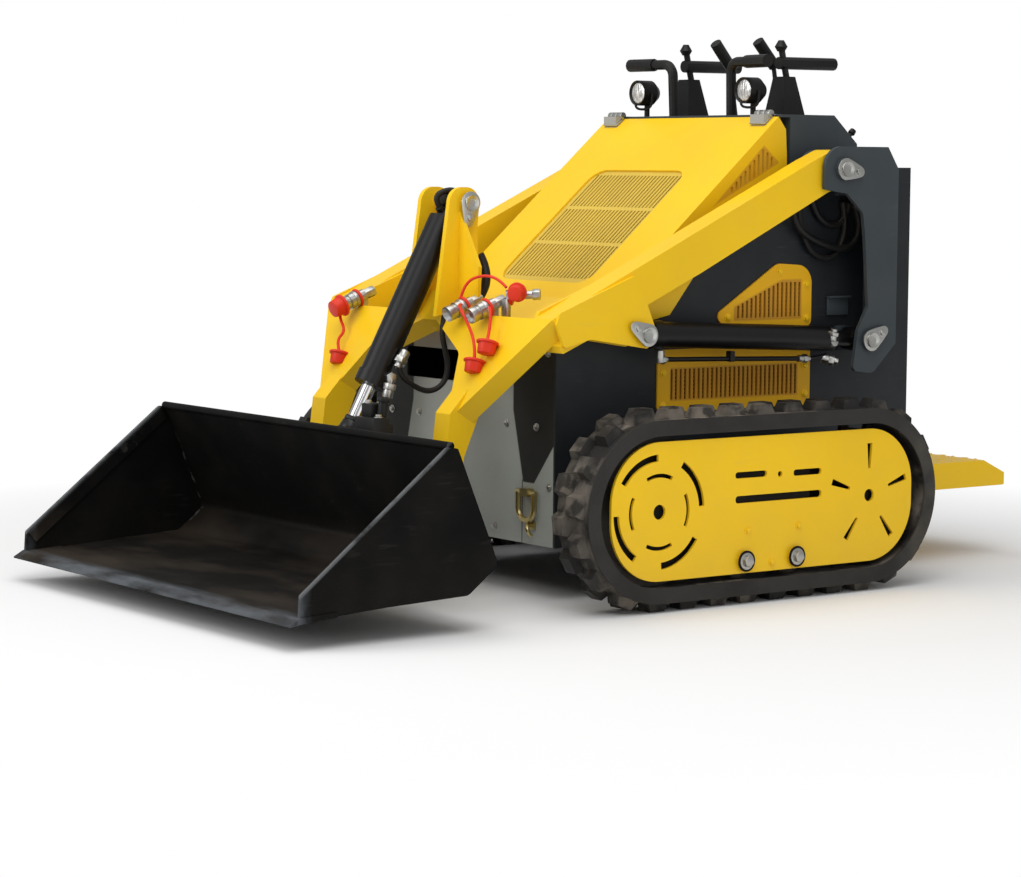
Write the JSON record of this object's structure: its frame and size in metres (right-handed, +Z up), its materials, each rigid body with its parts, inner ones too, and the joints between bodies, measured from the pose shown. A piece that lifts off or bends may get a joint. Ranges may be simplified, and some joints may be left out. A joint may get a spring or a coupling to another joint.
{
  "type": "mini track loader",
  "caption": "Compact stand-behind loader on rubber tracks: yellow lift arms straddling a sloping hood, a black bucket in front and a ride-on platform at the rear.",
  "frame": {"origin": "on the ground under the middle of the machine's bounding box", "axes": "+X forward towards the bucket, +Y to the machine's left, +Z up"},
  "size_m": [2.066, 1.106, 1.1556],
  "materials": {
    "rubber_track": "dusty moulded rubber",
    "yellow_paint": "satin yellow paint",
    "frame_yellow": "satin deeper yellow paint",
    "dark_paint": "satin dark grey-blue paint",
    "panel_grey": "satin mid grey paint",
    "console_grey": "textured dark grey paint",
    "bucket_black": "black paint, scuffed",
    "cylinder_black": "gloss black paint",
    "rod_chrome": "hard chrome",
    "zinc_steel": "zinc plated steel",
    "cast_metal": "plain cast and sheet metal",
    "hose_rubber": "black rubber hose",
    "grip_plastic": "black matte plastic",
    "lamp_black": "black housing with a clear lens"
  },
  "bodies": {
    "machine": {"track_belt_left": "rubber_track", "track_belt_right": "rubber_track", "track_plate_left": "yellow_paint", "track_plate_right": "yellow_paint", "track_frame_left": "dark_paint", "track_frame_right": "dark_paint", "track_wheels_left": "cast_metal", "track_wheels_right": "cast_metal", "side_panel_left": "dark_paint", "side_panel_right": "dark_paint", "tower_left": "console_grey", "tower_right": "console_grey", "front_panel": "panel_grey", "front_cowl": "yellow_paint", "rear_panel": "dark_paint", "floor_pan": "dark_paint", "side_grilles": "frame_yellow", "engine_block": "cast_metal", "console": "console_grey", "control_bars": "grip_plastic", "control_levers": "grip_plastic", "work_lamps": "lamp_black", "platform": "yellow_paint", "tie_rings": "zinc_steel", "side_hoses": "hose_rubber"},
    "hood": {"hood_shell": "yellow_paint", "hood_mesh": "frame_yellow"},
    "lift_arms": {"arm_left": "yellow_paint", "arm_right": "yellow_paint", "crossmember": "yellow_paint", "tilt_bracket": "yellow_paint", "couplers": "zinc_steel"},
    "lift_barrel_left": {"lift_barrel_left": "cylinder_black"},
    "lift_barrel_right": {"lift_barrel_right": "cylinder_black"},
    "lift_rod_left": {"lift_rod_left": "rod_chrome"},
    "lift_rod_right": {"lift_rod_right": "rod_chrome"},
    "tilt_barrel": {"tilt_barrel": "cylinder_black"},
    "tilt_rod": {"tilt_rod": "rod_chrome"},
    "bucket": {"quick_attach": "bucket_black", "bucket_shell": "bucket_black", "bucket_sides": "bucket_black", "cutting_edge": "bucket_black"}
  },
  "joints": [
    {"name": "lift_arms", "type": "hinge", "parent": "machine", "child": "lift_arms", "pos_m": [-0.398, 0, 0.87], "axis": [0, -1, 0], "range_deg": [0, 74]},
    {"name": "bucket_tilt", "type": "hinge", "parent": "lift_arms", "child": "bucket", "pos_m": [0.5, 0, 0.175], "axis": [0, 1, 0], "range_deg": [-25, 62]},
    {"name": "hood_open", "type": "hinge", "parent": "machine", "child": "hood", "pos_m": [-0.322, 0, 0.986], "axis": [0, -1, 0], "range_deg": [0, 55]},
    {"name": "tilt_barrel_swing", "type": "hinge", "parent": "lift_arms", "child": "tilt_barrel", "pos_m": [0.306, 0, 0.796], "axis": [0, -1, 0], "range_deg": [-2.12, 4.53]},
    {"name": "tilt_rod_slide", "type": "slide", "parent": "tilt_barrel", "child": "tilt_rod", "axis": [0.4741, 0, -0.8805], "range_m": [-0.0596, 0.1448]},
    {"name": "lift_barrel_swing_left", "type": "hinge", "parent": "machine", "child": "lift_barrel_left", "pos_m": [-0.478, 0.377, 0.511], "axis": [0, -1, 0], "range_deg": [-0.5, 53.41]},
    {"name": "lift_rod_slide_left", "type": "slide", "parent": "lift_barrel_left", "child": "lift_rod_left", "axis": [0.999, 0, 0.0451], "range_m": [-0.002, 0.3649]},
    {"name": "lift_barrel_swing_right", "type": "hinge", "parent": "machine", "child": "lift_barrel_right", "pos_m": [-0.478, -0.377, 0.511], "axis": [0, -1, 0], "range_deg": [-0.5, 53.41]},
    {"name": "lift_rod_slide_right", "type": "slide", "parent": "lift_barrel_right", "child": "lift_rod_right", "axis": [0.999, 0, 0.0451], "range_m": [-0.002, 0.3649]}
  ],
  "couplings": [
    {"joint": "tilt_barrel_swing", "follows": "bucket_tilt", "ratio": 0.065},
    {"joint": "tilt_rod_slide", "follows": "bucket_tilt", "m_per_rad": 0.132},
    {"joint": "lift_barrel_swing_left", "follows": "lift_arms", "ratio": 0.715},
    {"joint": "lift_rod_slide_left", "follows": "lift_arms", "m_per_rad": 0.281},
    {"joint": "lift_barrel_swing_right", "follows": "lift_arms", "ratio": 0.715},
    {"joint": "lift_rod_slide_right", "follows": "lift_arms", "m_per_rad": 0.281}
  ]
}
